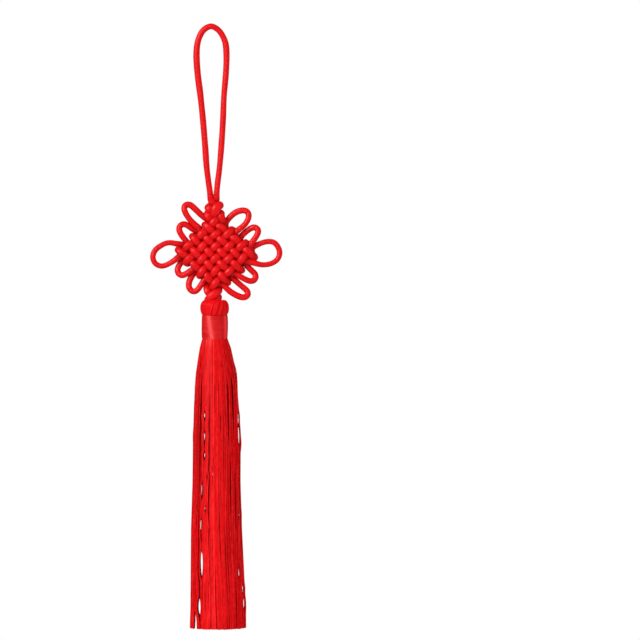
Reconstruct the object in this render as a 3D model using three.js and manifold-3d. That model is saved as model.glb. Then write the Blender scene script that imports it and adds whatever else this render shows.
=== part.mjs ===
// Hanging knot tassel tied in round satin cord. Millimetres, +Z up, face towards -Y, +X to its right.
// The origin is the inside top of the hanging loop, where a hook would carry it.

import * as THREE from 'three';
import { mergeGeometries, mergeVertices } from 'three/addons/utils/BufferGeometryUtils.js';
import Module from 'manifold-3d';

const wasm = await Module();
wasm.setup();

// Driving sizes of the cord
const cordRadius = 1.15;
const loopRadius = 1.25;
const cordSides = 8;
const seatGap = 0.3;

// Hanging loop: the middle of each leg at a height, from under the crown down to the upper small knot
const loopCrownZ = 1.25;
const loopSteps = 40;
const loopLegs = [
  { z: -0.5, left: -3.0, right: 3.0 },
  { z: -2.9, left: -4.5, right: 4.7 },
  { z: -5.7, left: -5.4, right: 5.8 },
  { z: -10.1, left: -5.8, right: 6.2 },
  { z: -17.3, left: -5.4, right: 6.0 },
  { z: -26.9, left: -4.2, right: 5.2 },
  { z: -36.5, left: -3.2, right: 4.8 },
  { z: -46.1, left: -2.4, right: 4.2 },
  { z: -55.7, left: -1.7, right: 3.4 },
  { z: -62.0, left: -0.8, right: 2.7 },
  { z: -65.8, left: -0.15, right: 2.45 },
  { z: -67.0, left: -0.1, right: 2.4 },
];

// Woven body: two plain-woven layers of six columns and six rows, laid as a diamond
const bodyCentre = new THREE.Vector2(1.8, -89.6);
const lineCount = 6;
const stepX = 2.62;
const stepZ = 2.44;
const layerDepth = 1.5;
const crimp = 0.8;
const cordReach = 0.32;
const cordCrown = 0.12;
const crownRise = 0.96;
const pitDepth = 0.2;
const edgeOut = 0.52;
const turnOut = 0.78;
const edgeHalfDepth = 1.5;

// Ears: the cord's route round each loop, from the body's middle, as points chosen by eye.
// "from" leaves the back layer and "to" enters the front layer, each a line and the end it leaves by.
const earSteps = 18;
const ears = [
  {
    from: { line: 'row', index: 0, end: 'low' },
    route: [[-4.0, 13.8], [-7.8, 17.2], [-9.4, 18.7], [-10.5, 19.4], [-11.7, 19.3], [-12.5, 18.5],
      [-12.5, 17.2], [-10.9, 14.1], [-8.2, 11.2], [-6.7, 10.0]],
    to: { line: 'row', index: 2, end: 'low' },
  },
  {
    from: { line: 'row', index: 2, end: 'low' },
    route: [[-7.6, 8.6], [-9.2, 9.5], [-11.9, 11.4], [-13.2, 11.5], [-14.4, 10.6], [-14.6, 9.3],
      [-14.0, 7.8], [-11.9, 4.9], [-10.9, 3.9]],
    to: { line: 'row', index: 4, end: 'low' },
  },
  {
    from: { line: 'row', index: 4, end: 'low' },
    route: [[-12.8, 3.2], [-15.5, 3.6], [-18.8, 4.1], [-22.0, 2.8], [-24.4, 0.7], [-25.1, -2.0],
      [-24.0, -4.4], [-21.5, -5.4], [-18.4, -4.3], [-15.5, -2.4]],
    to: { line: 'column', index: 0, end: 'high' },
  },
  {
    from: { line: 'column', index: 0, end: 'high' },
    route: [[-13.4, -3.1], [-14.9, -5.6], [-15.3, -7.0], [-14.8, -8.3], [-13.6, -9.1], [-12.2, -8.7],
      [-9.6, -7.0], [-8.4, -6.2]],
    to: { line: 'column', index: 2, end: 'high' },
  },
  {
    from: { line: 'column', index: 2, end: 'high' },
    route: [[-8.6, -7.9], [-10.3, -10.8], [-10.7, -12.4], [-10.7, -13.7], [-10.1, -14.8], [-9.0, -15.6],
      [-7.8, -15.4], [-6.7, -14.3], [-5.0, -11.6], [-4.2, -10.4]],
    to: { line: 'column', index: 4, end: 'high' },
  },
  {
    from: { line: 'column', index: 1, end: 'low' },
    route: [[3.9, 11.7], [4.9, 13.3], [7.4, 15.8], [9.0, 16.6], [10.6, 17.0], [12.0, 16.9], [13.0, 16.2],
      [13.4, 15.0], [13.2, 13.7], [11.6, 11.1], [8.8, 8.9], [7.4, 7.8]],
    to: { line: 'column', index: 3, end: 'low' },
  },
  {
    from: { line: 'column', index: 3, end: 'low' },
    route: [[10.4, 6.8], [13.0, 9.1], [14.2, 9.9], [15.3, 10.3], [16.5, 9.9], [17.2, 8.8], [16.9, 7.6],
      [15.3, 5.0], [13.6, 2.8]],
    to: { line: 'column', index: 5, end: 'low' },
  },
  {
    from: { line: 'column', index: 5, end: 'low' },
    route: [[14.4, 2.0], [17.1, 3.4], [20.5, 4.5], [23.4, 4.2], [25.3, 1.8], [25.7, -0.6], [24.6, -2.9],
      [21.8, -4.5], [18.3, -4.8], [15.1, -3.9]],
    to: { line: 'row', index: 1, end: 'high' },
  },
  {
    from: { line: 'row', index: 1, end: 'high' },
    route: [[11.6, -3.9], [13.8, -6.5], [15.9, -8.5], [16.2, -9.6], [15.7, -10.8], [14.6, -11.4],
      [13.2, -11.2], [10.0, -9.6], [7.4, -7.9]],
    to: { line: 'row', index: 3, end: 'high' },
  },
  {
    from: { line: 'row', index: 3, end: 'high' },
    route: [[6.0, -9.2], [8.5, -11.6], [11.3, -14.0], [12.5, -15.0], [13.1, -16.2], [12.5, -17.5],
      [11.1, -17.9], [9.5, -17.5], [6.0, -15.6], [3.0, -12.8], [2.0, -12.2]],
    to: { line: 'row', index: 5, end: 'high' },
  },
];

// Small button knots: tilted turns of the cord round a full core, and the strands that cross the front.
// Each bar is a short straight stretch of cord, by its two ends and its depth at the front.
const turnSegments = 12;
const barSteps = 6;
const smallKnots = [
  {
    x: 1.5,
    coreTop: -69.4,
    coreBottom: -75.8,
    coreRadius: 3.1,
    turns: [
      { z: -71.2, radius: 2.6, tiltDeg: 9 },
      { z: -73.9, radius: 2.65, tiltDeg: -3 },
    ],
    bars: [
      { from: [-0.8, -71.3], to: [0.9, -74.3], y: -2.9 },
      { from: [-1.3, -73.4], to: [0.5, -75.4], y: -2.7 },
      { from: [3.0, -70.8], to: [2.0, -73.8], y: -3.2 },
    ],
  },
  {
    x: 0.8,
    coreTop: -103.0,
    coreBottom: -108.0,
    coreRadius: 2.4,
    turns: [
      { z: -104.8, radius: 2.35, tiltDeg: -6 },
      { z: -106.9, radius: 2.3, tiltDeg: 6 },
    ],
    bars: [
      { from: [-1.5, -107.6], to: [2.9, -105.0], y: -2.9 },
    ],
  },
];

// Links: the pairs of strands between the loop, the small knots and the body
const links = [
  [[-0.1, 0, -67.3], [0.1, 0, -70.0]],
  [[2.4, 0, -67.3], [2.9, 0, -70.0]],
  [[0.2, -1.0, -74.8], [-0.6, -1.2, -77.0], [1.6, -0.9, -79.2]],
  [[2.8, -1.0, -74.8], [3.9, -1.2, -76.8], [4.5, -0.9, -80.0]],
  [[-0.9, 1.0, -100.0], [-0.8, 0.6, -102.4], [0.0, 0, -104.4]],
  [[3.2, 1.0, -101.4], [2.9, 0.6, -103.0], [2.0, 0, -104.8]],
];
const linkSteps = 3;

// Tassel head: the threads fold over the cord under a ribbed cap, and are bound at the neck
const headX = 1.6;
const headSegments = 24;
const capRibs = 30;
const ribRise = 0.3;
const ribLeanDeg = 7;
const capProfile = [
  { z: -108.7, radius: 3.2 },
  { z: -109.0, radius: 4.3 },
  { z: -109.9, radius: 5.2 },
  { z: -111.4, radius: 5.45 },
  { z: -113.2, radius: 5.35 },
  { z: -114.2, radius: 5.0 },
];
const capFootZ = capProfile[capProfile.length - 1].z;
const neckRadius = 4.2;
const neckSink = 0.5;
const collar = { topZ: -124.2, footZ: -125.4, radius: 5.0, lip: 0.02 };

// Binding band, wound round the neck between the cap and the collar, by share of its height
const bandSegments = 32;
const bandTopZ = capFootZ - seatGap;
const bandFootZ = collar.topZ + seatGap;
const bandProfile = [
  { share: 0, radius: 5.0 },
  { share: 0.05, radius: 5.2 },
  { share: 0.5, radius: 5.3 },
  { share: 0.95, radius: 5.2 },
  { share: 1, radius: 5.0 },
];

// Skirt: strands in rings about an axis that drifts, spread out by a radius at each level
const skirtLevels = [
  { z: -124.6, axisX: 1.6, radius: 4.8 },
  { z: -127.4, axisX: 1.8, radius: 6.0 },
  { z: -136.0, axisX: 2.0, radius: 7.6 },
  { z: -156.0, axisX: 2.3, radius: 8.9 },
  { z: -197.0, axisX: 2.3, radius: 9.8 },
  { z: -239.6, axisX: 2.9, radius: 10.6 },
];
const strandRings = [
  { place: 0.96, strands: 42 },
  { place: 0.79, strands: 33 },
  { place: 0.61, strands: 25 },
  { place: 0.43, strands: 17 },
  { place: 0.24, strands: 9 },
  { place: 0.00, strands: 1 },
];
const strandWidth = 0.115;
const strandSides = 3;
const tipRaggedness = 1.4;

// Make a manifold solid from a geometry whose shared points are merged
function solidOf(geometry) {
  const bare = geometry.clone();
  bare.deleteAttribute('normal');
  bare.deleteAttribute('uv');
  const merged = mergeVertices(bare, 1e-4);
  return new wasm.Manifold(new wasm.Mesh({
    numProp: 3,
    vertProperties: new Float32Array(merged.attributes.position.array),
    triVerts: new Uint32Array(merged.index.array),
  }));
}

// Turn a manifold solid back into a geometry
function geometryOf(solid) {
  const mesh = solid.getMesh();
  return indexedGeometry(Array.from(mesh.vertProperties), Array.from(mesh.triVerts));
}

// A geometry from a flat list of coordinates and its faces
function indexedGeometry(positions, faces) {
  const geometry = new THREE.BufferGeometry();
  geometry.setAttribute('position', new THREE.Float32BufferAttribute(positions, 3));
  geometry.setIndex(faces);
  return geometry;
}

// A regular polygon whose corners lie on a circle
function roundSection(radius, sides) {
  const corners = [];
  for (let k = 0; k < sides; k += 1) {
    const angle = (2 * Math.PI * (k + 0.5)) / sides;
    corners.push(new THREE.Vector2(radius * Math.cos(angle), radius * Math.sin(angle)));
  }
  return new THREE.Shape(corners);
}

// A smooth route whose steps follow its points, so that they fall closer together round a tight bend
class CordRoute extends THREE.CatmullRomCurve3 {
  constructor(points) {
    super(points, false, 'centripetal');
  }

  getSpacedPoints(divisions) {
    return this.getPoints(divisions);
  }

  getTangentAt(share, target) {
    return this.getTangent(share, target);
  }
}

// A stretch of cord along a smooth route through the given points
function cordAlong(points, steps, radius = cordRadius) {
  return new THREE.ExtrudeGeometry(roundSection(radius, cordSides), {
    steps,
    bevelEnabled: false,
    extrudePath: new CordRoute(points),
  });
}

// A closed band of rings, each a loop of points, with both ends capped by a fan about their middle
function loftRings(rings) {
  const count = rings[0].length;
  const positions = [];
  const faces = [];
  for (const ring of rings) {
    for (const point of ring) {
      positions.push(...point);
    }
  }
  for (let level = 0; level + 1 < rings.length; level += 1) {
    for (let k = 0; k < count; k += 1) {
      const next = (k + 1) % count;
      const a = level * count + k;
      const b = level * count + next;
      const c = (level + 1) * count + next;
      const d = (level + 1) * count + k;
      faces.push(a, d, c, a, c, b);
    }
  }
  const last = (rings.length - 1) * count;
  for (let k = 1; k + 1 < count; k += 1) {
    faces.push(0, k, k + 1);
    faces.push(last, last + k + 1, last + k);
  }
  return indexedGeometry(positions, faces);
}

// A point of the woven body: column coordinate u, row coordinate v, and depth y
function latticePoint(u, v, y) {
  const middle = (lineCount - 1) / 2;
  return new THREE.Vector3(
    bodyCentre.x + (u - v) * stepX,
    y,
    bodyCentre.y - (u + v - 2 * middle) * stepZ,
  );
}

// Where a line meets the body's edge region, a little inside its first or last crossing
function lineAnchor(place, y) {
  const along = place.end === 'low' ? 0.15 : lineCount - 1.15;
  return place.line === 'column' ? latticePoint(place.index, along, y) : latticePoint(along, place.index, y);
}

function hangingLoop() {
  const left = loopLegs.map((row) => new THREE.Vector3(row.left, 0, row.z)).reverse();
  const right = loopLegs.map((row) => new THREE.Vector3(row.right, 0, row.z));
  const crown = new THREE.Vector3(0, 0, loopCrownZ);
  return cordAlong([...left, crown, ...right], loopSteps, loopRadius);
}

// Positions across the lines at which the woven relief is sampled, and how far each is from its line
function weaveSamples() {
  const samples = [{ at: -edgeOut, line: 0, off: edgeOut }];
  for (let line = 0; line < lineCount; line += 1) {
    for (const off of [-cordReach, -cordCrown, cordCrown, cordReach]) {
      samples.push({ at: line + off, line, off: Math.abs(off) });
    }
  }
  samples.push({ at: lineCount - 1 + edgeOut, line: lineCount - 1, off: edgeOut });
  return samples;
}

// Depth of the relief at a sample: the column's or the row's crown, whichever stands further out
function reliefDepth(column, row) {
  const columnUp = (column.line + row.line) % 2 === 0 ? 1 : -1;
  const columnHeight = columnUp * crimp * Math.cos(Math.PI * row.off);
  const rowHeight = -columnUp * crimp * Math.cos(Math.PI * column.off);
  const onColumn = column.off <= cordCrown;
  const onRow = row.off <= cordCrown;
  const heights = [-pitDepth];
  if (onColumn) {
    heights.push(columnHeight + crownRise);
  }
  if (onRow) {
    heights.push(rowHeight + crownRise);
  }
  return layerDepth + Math.max(...heights);
}

// The edge runs further out where a line turns back from the front layer to the back one
function edgeShift(sample, turnParity) {
  const turns = sample.line % 2 === turnParity && sample.off <= cordReach;
  return turns ? turnOut - edgeOut : 0;
}

// The grid places round the rim of the slab, in order
function rimPlaces(last) {
  const places = [];
  for (let k = 0; k < last; k += 1) {
    places.push([k, 0]);
  }
  for (let k = 0; k < last; k += 1) {
    places.push([last, k]);
  }
  for (let k = last; k > 0; k -= 1) {
    places.push([k, last]);
  }
  for (let k = last; k > 0; k -= 1) {
    places.push([0, k]);
  }
  return places;
}

// The woven body as one closed slab, with the crowns of both layers raised on its two faces
function wovenBody() {
  const samples = weaveSamples();
  const count = samples.length;
  const last = count - 1;
  const positions = [];
  for (const side of [-1, 1]) {
    samples.forEach((column, a) => {
      samples.forEach((row, b) => {
        const edgeColumn = Number(a === last) - Number(a === 0);
        const edgeRow = Number(b === last) - Number(b === 0);
        const u = column.at + edgeColumn * edgeShift(row, edgeColumn < 0 ? 1 : 0);
        const v = row.at + edgeRow * edgeShift(column, edgeRow < 0 ? 0 : 1);
        const onEdge = edgeColumn !== 0 || edgeRow !== 0;
        const depth = onEdge ? edgeHalfDepth : reliefDepth(column, row);
        positions.push(...latticePoint(u, v, side * depth));
      });
    });
  }
  const faces = [];
  const front = (a, b) => a * count + b;
  const back = (a, b) => count * count + a * count + b;
  for (let a = 0; a < last; a += 1) {
    for (let b = 0; b < last; b += 1) {
      faces.push(front(a, b), front(a, b + 1), front(a + 1, b + 1));
      faces.push(front(a, b), front(a + 1, b + 1), front(a + 1, b));
      faces.push(back(a, b), back(a + 1, b + 1), back(a, b + 1));
      faces.push(back(a, b), back(a + 1, b), back(a + 1, b + 1));
    }
  }
  const rim = rimPlaces(last);
  rim.forEach((place, k) => {
    const next = rim[(k + 1) % rim.length];
    faces.push(front(...place), front(...next), back(...next));
    faces.push(front(...place), back(...next), back(...place));
  });
  return indexedGeometry(positions, faces);
}

// One ear: out of the back layer, round its route and into the front layer
function earLoop(ear) {
  const span = ear.route.length + 1;
  const depthAt = (k) => layerDepth * Math.cos((Math.PI * k) / span);
  const points = [lineAnchor(ear.from, depthAt(0))];
  ear.route.forEach(([x, z], k) => {
    points.push(new THREE.Vector3(bodyCentre.x + x, depthAt(k + 1), bodyCentre.y + z));
  });
  points.push(lineAnchor(ear.to, depthAt(span)));
  return cordAlong(points, earSteps);
}

// One button knot: its core, its tilted turns and the strands across its front
function smallKnot(knot) {
  const bevel = 0.9;
  const profile = [
    new THREE.Vector2(0, knot.coreBottom),
    new THREE.Vector2(knot.coreRadius - bevel, knot.coreBottom),
    new THREE.Vector2(knot.coreRadius, knot.coreBottom + bevel),
    new THREE.Vector2(knot.coreRadius, knot.coreTop - bevel),
    new THREE.Vector2(knot.coreRadius - bevel, knot.coreTop),
    new THREE.Vector2(0, knot.coreTop),
  ];
  const core = new THREE.LatheGeometry(profile, turnSegments);
  core.rotateX(Math.PI / 2);
  core.translate(knot.x, 0, 0);
  let solid = solidOf(core);
  for (const turn of knot.turns) {
    const ring = new THREE.TorusGeometry(turn.radius, cordRadius, cordSides, turnSegments);
    ring.rotateY(THREE.MathUtils.degToRad(-turn.tiltDeg));
    ring.translate(knot.x, 0, turn.z);
    solid = solid.add(solidOf(ring));
  }
  for (const bar of knot.bars) {
    const sunkY = bar.y / 3;
    const mix = (share) => [0, 1].map((axis) => bar.from[axis] + share * (bar.to[axis] - bar.from[axis]));
    const points = [[0, sunkY], [0.25, bar.y], [0.75, bar.y], [1, sunkY]].map(([share, y]) => {
      const [x, z] = mix(share);
      return new THREE.Vector3(x, y, z);
    });
    solid = solid.add(solidOf(cordAlong(points, barSteps)));
  }
  return solid;
}

function knot() {
  let solid = solidOf(wovenBody());
  for (const ear of ears) {
    solid = solid.add(solidOf(earLoop(ear)));
  }
  for (const small of smallKnots) {
    solid = solid.add(smallKnot(small));
  }
  for (const link of links) {
    solid = solid.add(solidOf(cordAlong(link.map((point) => new THREE.Vector3(...point)), linkSteps)));
  }
  return geometryOf(solid);
}

// A ring of points about the head's axis
function headRing(z, count, radiusAt) {
  const ring = [];
  for (let k = 0; k < count; k += 1) {
    const angle = (2 * Math.PI * k) / count;
    const radius = radiusAt(k);
    ring.push(new THREE.Vector3(headX + radius * Math.cos(angle), radius * Math.sin(angle), z));
  }
  return ring;
}

// The ribbed cap: a crest and a furrow for each folded bunch, leaning a little
function headCap() {
  const top = capProfile[0].z;
  const up = new THREE.Vector3(0, 0, 1);
  const rings = capProfile.map((row, level) => {
    const rise = level === 0 ? 0 : ribRise / 2;
    const ring = headRing(row.z, 2 * capRibs, (k) => row.radius + (k % 2 === 0 ? rise : -rise));
    const axis = new THREE.Vector3(headX, 0, row.z);
    const turn = (-THREE.MathUtils.degToRad(ribLeanDeg) * (top - row.z)) / (top - capFootZ);
    return ring.map((point) => point.sub(axis).applyAxisAngle(up, turn).add(axis));
  });
  return loftRings(rings);
}

// The neck inside the band, and the collar under it that the strands leave
function headNeck() {
  const rows = [
    { z: capFootZ + neckSink, radius: neckRadius },
    { z: collar.topZ + collar.lip, radius: neckRadius },
    { z: collar.topZ, radius: collar.radius },
    { z: collar.footZ, radius: collar.radius },
  ];
  return loftRings(rows.map((row) => headRing(row.z, headSegments, () => row.radius)));
}

// A fixed scatter between 0 and 1 for each strand
function scatter(seed) {
  const value = Math.sin(seed * 12.9898) * 43758.5453;
  return value - Math.floor(value);
}

// One strand of the skirt: a three-sided lock whose section grows as the skirt spreads
function skirtStrand(place, angle, seed) {
  const rings = skirtLevels.map((level, index) => {
    const isTip = index === skirtLevels.length - 1;
    const lift = isTip ? tipRaggedness * scatter(seed) * scatter(seed + 0.5) : 0;
    const width = strandWidth * level.radius;
    const ring = [];
    for (let k = 0; k < strandSides; k += 1) {
      const turn = angle + (2 * Math.PI * k) / strandSides;
      const x = level.axisX + level.radius * place * Math.cos(angle) + (width / 2) * Math.cos(turn);
      const y = level.radius * place * Math.sin(angle) + (width / 2) * Math.sin(turn);
      ring.push(new THREE.Vector3(x, y, level.z + lift));
    }
    return ring;
  });
  return loftRings(rings);
}

function tassel() {
  const strands = [];
  for (const ring of strandRings) {
    for (let k = 0; k < ring.strands; k += 1) {
      const angle = (2 * Math.PI * (k + ring.place)) / ring.strands;
      strands.push(skirtStrand(ring.place, angle, strands.length + 1));
    }
  }
  const head = solidOf(headCap()).add(solidOf(headNeck()));
  return geometryOf(head.add(solidOf(mergeGeometries(strands))));
}

// The band: its outer profile and a plain bore that clears the neck
function tasselBand() {
  const boreRadius = neckRadius + seatGap;
  const height = bandTopZ - bandFootZ;
  const profile = [
    new THREE.Vector2(boreRadius, bandFootZ),
    ...bandProfile.map((row) => new THREE.Vector2(row.radius, bandFootZ + row.share * height)),
    new THREE.Vector2(boreRadius, bandTopZ),
    new THREE.Vector2(boreRadius, bandFootZ),
  ];
  const geometry = new THREE.LatheGeometry(profile, bandSegments);
  geometry.rotateX(Math.PI / 2);
  geometry.translate(headX, 0, 0);
  return geometry;
}

// A named piece of the model with its own thread or cord finish
function piece(name, geometry, color, roughness) {
  const material = new THREE.MeshStandardMaterial({ color, roughness, metalness: 0 });
  const mesh = new THREE.Mesh(geometry, material);
  mesh.name = name;
  return mesh;
}

const model = new THREE.Group();
model.add(piece('hanging_loop', hangingLoop(), 0xdd1c20, 0.5));
model.add(piece('knot', knot(), 0xdc1a1e, 0.5));
model.add(piece('tassel', tassel(), 0xcf161a, 0.55));
model.add(piece('tassel_band', tasselBand(), 0xdb2124, 0.35));

export default model;
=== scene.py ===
import math

import bpy
import numpy as np
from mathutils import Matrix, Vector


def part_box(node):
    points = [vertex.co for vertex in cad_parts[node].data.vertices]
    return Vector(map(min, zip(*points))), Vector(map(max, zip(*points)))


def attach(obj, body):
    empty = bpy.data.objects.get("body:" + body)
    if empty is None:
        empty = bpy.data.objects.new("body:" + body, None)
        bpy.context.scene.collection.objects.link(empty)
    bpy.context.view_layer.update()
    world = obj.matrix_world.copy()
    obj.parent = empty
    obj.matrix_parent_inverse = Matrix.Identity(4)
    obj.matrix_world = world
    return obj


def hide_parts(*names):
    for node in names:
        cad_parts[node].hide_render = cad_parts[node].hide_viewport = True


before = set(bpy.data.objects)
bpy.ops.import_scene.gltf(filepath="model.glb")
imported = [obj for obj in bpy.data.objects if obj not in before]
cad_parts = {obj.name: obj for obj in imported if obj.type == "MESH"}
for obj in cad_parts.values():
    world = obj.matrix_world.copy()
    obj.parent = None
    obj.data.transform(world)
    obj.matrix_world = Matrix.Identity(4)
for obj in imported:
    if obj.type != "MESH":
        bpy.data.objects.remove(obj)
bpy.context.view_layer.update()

millimetre = 0.001  # every size below is in millimetres, as on the maker's bench
body = "root"


# Tools for meshes

def makeMesh(name, verts, faces, uvs, tone):
    # faces has one index array for each count of corners, and uvs one row per corner in the same order
    mesh = bpy.data.meshes.new(name)
    totals = np.concatenate([np.full(len(rows), rows.shape[1], np.int32) for rows in faces])
    corners = np.concatenate([rows.reshape(-1) for rows in faces]).astype(np.int32)
    mesh.vertices.add(len(verts))
    mesh.vertices.foreach_set("co", (np.asarray(verts) * millimetre).astype(np.float32).reshape(-1))
    mesh.loops.add(len(corners))
    mesh.loops.foreach_set("vertex_index", corners)
    mesh.polygons.add(len(totals))
    mesh.polygons.foreach_set("loop_start", np.concatenate([[0], np.cumsum(totals)[:-1]]).astype(np.int32))
    mesh.polygons.foreach_set("use_smooth", np.ones(len(totals), bool))
    layer = mesh.uv_layers.new(name="threadUv")
    layer.data.foreach_set("uv", np.asarray(uvs, np.float32).reshape(-1))
    attribute = mesh.attributes.new("tone", "FLOAT", "POINT")
    attribute.data.foreach_set("value", np.asarray(tone, np.float32))
    mesh.update(calc_edges=True)
    mesh.validate()
    made = bpy.data.objects.new(name, mesh)
    bpy.context.scene.collection.objects.link(made)
    return made


def skinTubes(rings, along, tone):
    # rings: tube, step, side, xyz. Quads between the rings and a fan of triangles at each end.
    tubes, steps, sides = rings.shape[:3]
    ends = rings[:, [0, -1]].mean(axis=2)
    verts = np.concatenate([rings.reshape(-1, 3), ends.reshape(-1, 3)])
    base = (np.arange(tubes) * steps * sides)[:, None, None]
    row = (np.arange(steps - 1) * sides)[None, :, None]
    side = np.arange(sides)[None, None, :]
    after = (side + 1) % sides
    a = base + row + side
    b = base + row + after
    quads = np.stack([a, b, b + sides, a + sides], axis=-1).reshape(-1, 4)
    around = np.arange(sides) / sides
    low = np.broadcast_to(along[:, :-1, None], (tubes, steps - 1, sides))
    high = np.broadcast_to(along[:, 1:, None], (tubes, steps - 1, sides))
    left = np.broadcast_to(around, low.shape)
    right = left + 1 / sides
    quadUvs = np.stack([np.stack([left, low], -1), np.stack([right, low], -1),
                        np.stack([right, high], -1), np.stack([left, high], -1)], axis=3)
    middle = tubes * steps * sides + 2 * np.arange(tubes)[:, None]
    firstRing = (np.arange(tubes) * steps * sides)[:, None]
    lastRing = firstRing + (steps - 1) * sides
    k = np.arange(sides)[None, :]
    n = (k + 1) % sides
    topFan = np.stack([firstRing + n, firstRing + k, np.broadcast_to(middle, (tubes, sides))], -1)
    footFan = np.stack([lastRing + k, lastRing + n, np.broadcast_to(middle + 1, (tubes, sides))], -1)
    fans = np.concatenate([topFan.reshape(-1, 3), footFan.reshape(-1, 3)])
    fanUvs = np.zeros((len(fans) * 3, 2))
    uvs = np.concatenate([quadUvs.reshape(-1, 2), fanUvs])
    tones = np.concatenate([np.repeat(tone, steps * sides), np.repeat(tone, 2)])
    return verts, [quads, fans], uvs, tones


def roundAngles(count):
    return 2 * np.pi * np.arange(count) / count


def lengthAlong(points):
    return np.concatenate([[0], np.cumsum(np.linalg.norm(np.diff(points, axis=0), axis=1))])


def unit(vectors):
    return vectors / np.maximum(np.linalg.norm(vectors, axis=-1, keepdims=True), 1e-9)


def sweepThreads(paths, reference, radius, sides, tone):
    # many thin threads at once: each path keeps its section square to a reference direction
    tangent = unit(np.gradient(paths, axis=1))
    across = unit(np.cross(tangent, reference))
    out = np.cross(tangent, across)
    angle = roundAngles(sides)
    radius = np.broadcast_to(radius, paths.shape[:2])[:, :, None, None]
    offset = (np.cos(angle)[:, None] * across[:, :, None, :] + np.sin(angle)[:, None] * out[:, :, None, :])
    rings = paths[:, :, None, :] + radius * offset
    along = np.array([lengthAlong(path) for path in paths])
    return skinTubes(rings, along, tone)


def smoothRoute(points, spacing):
    # centripetal spline through the points, then even steps along it
    p = np.asarray(points, float)
    knots = np.concatenate([[0], np.cumsum(np.sqrt(np.linalg.norm(np.diff(p, axis=0), axis=1)))])
    gaps = np.diff(knots)[:, None]
    slopes = np.diff(p, axis=0) / gaps
    tangents = np.concatenate([slopes[:1], (slopes[:-1] * gaps[1:] + slopes[1:] * gaps[:-1])
                               / (gaps[:-1] + gaps[1:]), slopes[-1:]])
    splineParts = 12
    t = np.linspace(0, 1, splineParts, endpoint=False)[None, :, None]
    h = gaps[:, None]
    curve = ((2 * t**3 - 3 * t**2 + 1) * p[:-1, None] + (t**3 - 2 * t**2 + t) * h * tangents[:-1, None]
             + (3 * t**2 - 2 * t**3) * p[1:, None] + (t**3 - t**2) * h * tangents[1:, None])
    dense = np.concatenate([curve.reshape(-1, 3), p[-1:]])
    return evenSteps(dense, spacing)


def evenSteps(points, spacing, *others):
    lengths = lengthAlong(points)
    count = max(2, int(round(lengths[-1] / spacing)) + 1)
    at = np.linspace(0, lengths[-1], count)
    made = np.stack([np.interp(at, lengths, points[:, k]) for k in range(3)], axis=1)
    if not others:
        return made
    return [made] + [np.interp(at, lengths, other) for other in others]


# Tools for finishes: node groups made once, then placed in each material with its own values

def newGroup(name, inputs, outputs):
    group = bpy.data.node_groups.new(name, "ShaderNodeTree")
    for label, kind, value in inputs:
        socket = group.interface.new_socket(label, in_out="INPUT", socket_type=kind)
        socket.default_value = value
    for label, kind in outputs:
        group.interface.new_socket(label, in_out="OUTPUT", socket_type=kind)
    return group, group.nodes.new("NodeGroupInput"), group.nodes.new("NodeGroupOutput")


def mathNode(tree, operation, first, second=None):
    node = tree.nodes.new("ShaderNodeMath")
    node.operation = operation
    for socket, value in zip(node.inputs, (first, second)):
        if value is None:
            continue
        if isinstance(value, (int, float)):
            socket.default_value = value
        else:
            tree.links.new(value, socket)
    return node.outputs[0]


def braidGroup():
    # two families of fine yarns that cross over the cord's skin; Along is in mm, Around is 0 to 1
    group, given, made = newGroup(
        "braidedSkin",
        [("Along", "NodeSocketFloat", 0), ("Around", "NodeSocketFloat", 0), ("Yarns", "NodeSocketFloat", 8),
         ("Lay", "NodeSocketFloat", 1.6)],
        [("Height", "NodeSocketFloat"), ("Furrow", "NodeSocketFloat")])
    turn = mathNode(group, "MULTIPLY", mathNode(group, "MULTIPLY", given.outputs["Around"],
                                                given.outputs["Yarns"]), 2 * math.pi)
    run = mathNode(group, "MULTIPLY", mathNode(group, "DIVIDE", given.outputs["Along"],
                                               given.outputs["Lay"]), 2 * math.pi)
    leftHand = mathNode(group, "SINE", mathNode(group, "ADD", turn, run))
    rightHand = mathNode(group, "SINE", mathNode(group, "SUBTRACT", turn, run))
    higher = mathNode(group, "MAXIMUM", leftHand, rightHand)
    height = mathNode(group, "MULTIPLY_ADD", higher, 0.5)
    height.node.inputs[2].default_value = 0.5
    furrow = mathNode(group, "POWER", mathNode(group, "SUBTRACT", 1.0, height), 2.0)
    group.links.new(height, made.inputs["Height"])
    group.links.new(furrow, made.inputs["Furrow"])
    return group


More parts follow.
